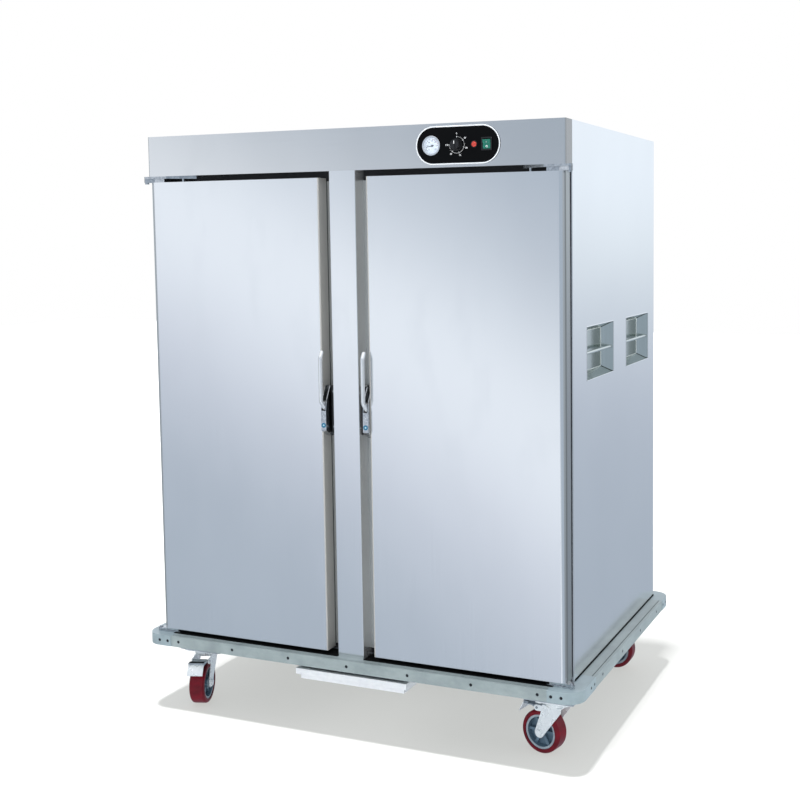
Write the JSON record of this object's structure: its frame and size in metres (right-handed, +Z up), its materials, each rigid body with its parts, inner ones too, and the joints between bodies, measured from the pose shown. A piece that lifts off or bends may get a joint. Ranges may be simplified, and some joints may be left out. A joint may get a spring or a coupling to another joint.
{
  "type": "heated mobile cabinet",
  "caption": "Tall insulated steel cabinet on swivel casters with two hinged doors, recessed push pockets, a wraparound bumper, heat controls and a drip tray.",
  "frame": {"origin": "on the floor under the middle of the bumper's outline", "axes": "+Z up, +X to the right seen from the front, the doors face -Y"},
  "size_m": [1.45, 0.98, 1.8],
  "materials": {
    "satin_steel": "satin",
    "bright_steel": "polished",
    "galvanised_steel": "satin",
    "bumper_plastic": "matte",
    "mineral_wool": "matte",
    "gasket_rubber": "matte",
    "wheel_tread": "matte",
    "wheel_plastic": "satin",
    "dark_steel": "satin",
    "black_panel": "satin",
    "black_plastic": "satin",
    "matte_black": "matte",
    "clear_glass": "clear",
    "needle_black": "matte",
    "red_lens": "gloss",
    "green_rocker": "gloss"
  },
  "bodies": {
    "cabinet": {"side_panel_right": "satin_steel", "side_panel_left": "satin_steel", "back_panel": "satin_steel", "top_panel": "satin_steel", "push_pockets": "satin_steel", "header": "satin_steel", "center_mullion": "satin_steel", "liners": "satin_steel", "rack_posts": "satin_steel", "rack_ledges": "satin_steel", "heating_elements": "satin_steel", "water_pans": "satin_steel", "tray_runners": "satin_steel", "bumper_screws": "bright_steel", "caster_plates": "bright_steel", "caster_bolts": "bright_steel", "hinge_plates": "bright_steel", "thermometer_case": "bright_steel", "insulation": "mineral_wool", "front_frame": "matte_black", "chassis": "galvanised_steel", "bumper_rails": "bumper_plastic", "bumper_corners": "bumper_plastic", "latch_keepers": "matte_black", "control_plate": "black_panel", "thermometer_lens": "clear_glass", "thermostat": "matte_black", "indicator_lamp": "red_lens", "switch_housing": "black_plastic", "power_inlet": "matte_black"},
    "door_right": {"door_skin_right": "satin_steel", "door_core_right": "mineral_wool", "door_liner_right": "satin_steel", "door_gasket_right": "gasket_rubber", "door_fittings_right": "bright_steel"},
    "handle_right": {"handle_right": "bright_steel"},
    "door_left": {"door_skin_left": "satin_steel", "door_core_left": "mineral_wool", "door_liner_left": "satin_steel", "door_gasket_left": "gasket_rubber", "door_fittings_left": "bright_steel"},
    "handle_left": {"handle_left": "bright_steel"},
    "drip_tray": {"drip_tray": "satin_steel"},
    "switch_rocker": {"switch_rocker": "green_rocker"},
    "thermometer_needle": {"thermometer_needle": "needle_black"},
    "thermostat_knob": {"thermostat_knob": "black_plastic"},
    "caster_front_left": {"fork_front_left": "bright_steel"},
    "wheel_front_left": {"wheel_hub_front_left": "wheel_plastic", "tyre_front_left": "wheel_tread"},
    "caster_front_right": {"fork_front_right": "bright_steel"},
    "wheel_front_right": {"wheel_hub_front_right": "wheel_plastic", "tyre_front_right": "wheel_tread"},
    "caster_rear_left": {"fork_rear_left": "bright_steel"},
    "wheel_rear_left": {"wheel_hub_rear_left": "wheel_plastic", "tyre_rear_left": "wheel_tread"},
    "caster_rear_right": {"fork_rear_right": "bright_steel"},
    "wheel_rear_right": {"wheel_hub_rear_right": "wheel_plastic", "tyre_rear_right": "wheel_tread"},
    "brake_pedal_front_right": {"brake_pedal_front_right": "dark_steel"},
    "brake_pedal_front_left": {"brake_pedal_front_left": "dark_steel"}
  },
  "joints": [
    {"name": "door_right_hinge", "type": "hinge", "parent": "cabinet", "child": "door_right", "pos_m": [0.69, -0.454, 0.9595], "axis": [0, 0, 1], "range_deg": [0, 260]},
    {"name": "handle_right_lever", "type": "hinge", "parent": "door_right", "child": "handle_right", "pos_m": [0.0695, -0.455, 1.003], "axis": [1, 0, 0], "range_deg": [0, 25], "stiffness_Nm_per_rad": 1.5, "springref_deg": -17.19},
    {"name": "door_left_hinge", "type": "hinge", "parent": "cabinet", "child": "door_left", "pos_m": [-0.69, -0.454, 0.9595], "axis": [0, 0, -1], "range_deg": [0, 260]},
    {"name": "handle_left_lever", "type": "hinge", "parent": "door_left", "child": "handle_left", "pos_m": [-0.0695, -0.455, 1.003], "axis": [1, 0, 0], "range_deg": [0, 25], "stiffness_Nm_per_rad": 1.5, "springref_deg": -17.19},
    {"name": "thermometer_needle_turn", "type": "hinge", "parent": "cabinet", "child": "thermometer_needle", "pos_m": [0.287, -0.4576, 1.7395], "axis": [0, 1, 0], "range_deg": [-33, 237]},
    {"name": "thermostat_knob_turn", "type": "hinge", "parent": "cabinet", "child": "thermostat_knob", "pos_m": [0.364, -0.47, 1.7395], "axis": [0, 1, 0], "range_deg": [0, 270]},
    {"name": "switch_rocker_tilt", "type": "hinge", "parent": "cabinet", "child": "switch_rocker", "pos_m": [0.4535, -0.459, 1.7395], "axis": [-1, 0, 0], "range_deg": [0, 20]},
    {"name": "drip_tray_slide", "type": "slide", "parent": "cabinet", "child": "drip_tray", "axis": [0, -1, 0], "range_m": [0, 0.3]},
    {"name": "caster_front_left_swivel", "type": "hinge", "parent": "cabinet", "child": "caster_front_left", "pos_m": [-0.605, -0.344, 0.15], "axis": [0, 0, 1], "continuous": true},
    {"name": "wheel_front_left_roll", "type": "hinge", "parent": "caster_front_left", "child": "wheel_front_left", "pos_m": [-0.59202, -0.38394, 0.0635], "axis": [-0.9511, -0.309, 0], "continuous": true},
    {"name": "caster_front_right_swivel", "type": "hinge", "parent": "cabinet", "child": "caster_front_right", "pos_m": [0.605, -0.344, 0.15], "axis": [0, 0, 1], "continuous": true},
    {"name": "wheel_front_right_roll", "type": "hinge", "parent": "caster_front_right", "child": "wheel_front_right", "pos_m": [0.56408, -0.33455, 0.0635], "axis": [0.225, 0.9744, 0], "continuous": true},
    {"name": "caster_rear_left_swivel", "type": "hinge", "parent": "cabinet", "child": "caster_rear_left", "pos_m": [-0.605, 0.387, 0.15], "axis": [0, 0, 1], "continuous": true},
    {"name": "wheel_rear_left_roll", "type": "hinge", "parent": "caster_rear_left", "child": "wheel_rear_left", "pos_m": [-0.647, 0.387, 0.0635], "axis": [0, 1, 0], "continuous": true},
    {"name": "caster_rear_right_swivel", "type": "hinge", "parent": "cabinet", "child": "caster_rear_right", "pos_m": [0.605, 0.387, 0.15], "axis": [0, 0, 1], "continuous": true},
    {"name": "wheel_rear_right_roll", "type": "hinge", "parent": "caster_rear_right", "child": "wheel_rear_right", "pos_m": [0.563, 0.387, 0.0635], "axis": [0, 1, 0], "continuous": true},
    {"name": "brake_pedal_front_right_press", "type": "hinge", "parent": "caster_front_right", "child": "brake_pedal_front_right", "pos_m": [0.55628, -0.33275, 0.136], "axis": [-0.225, -0.9744, 0], "range_deg": [0, 20]},
    {"name": "brake_pedal_front_left_press", "type": "hinge", "parent": "caster_front_left", "child": "brake_pedal_front_left", "pos_m": [-0.58955, -0.39155, 0.136], "axis": [0.9511, 0.309, 0], "range_deg": [0, 20]}
  ]
}
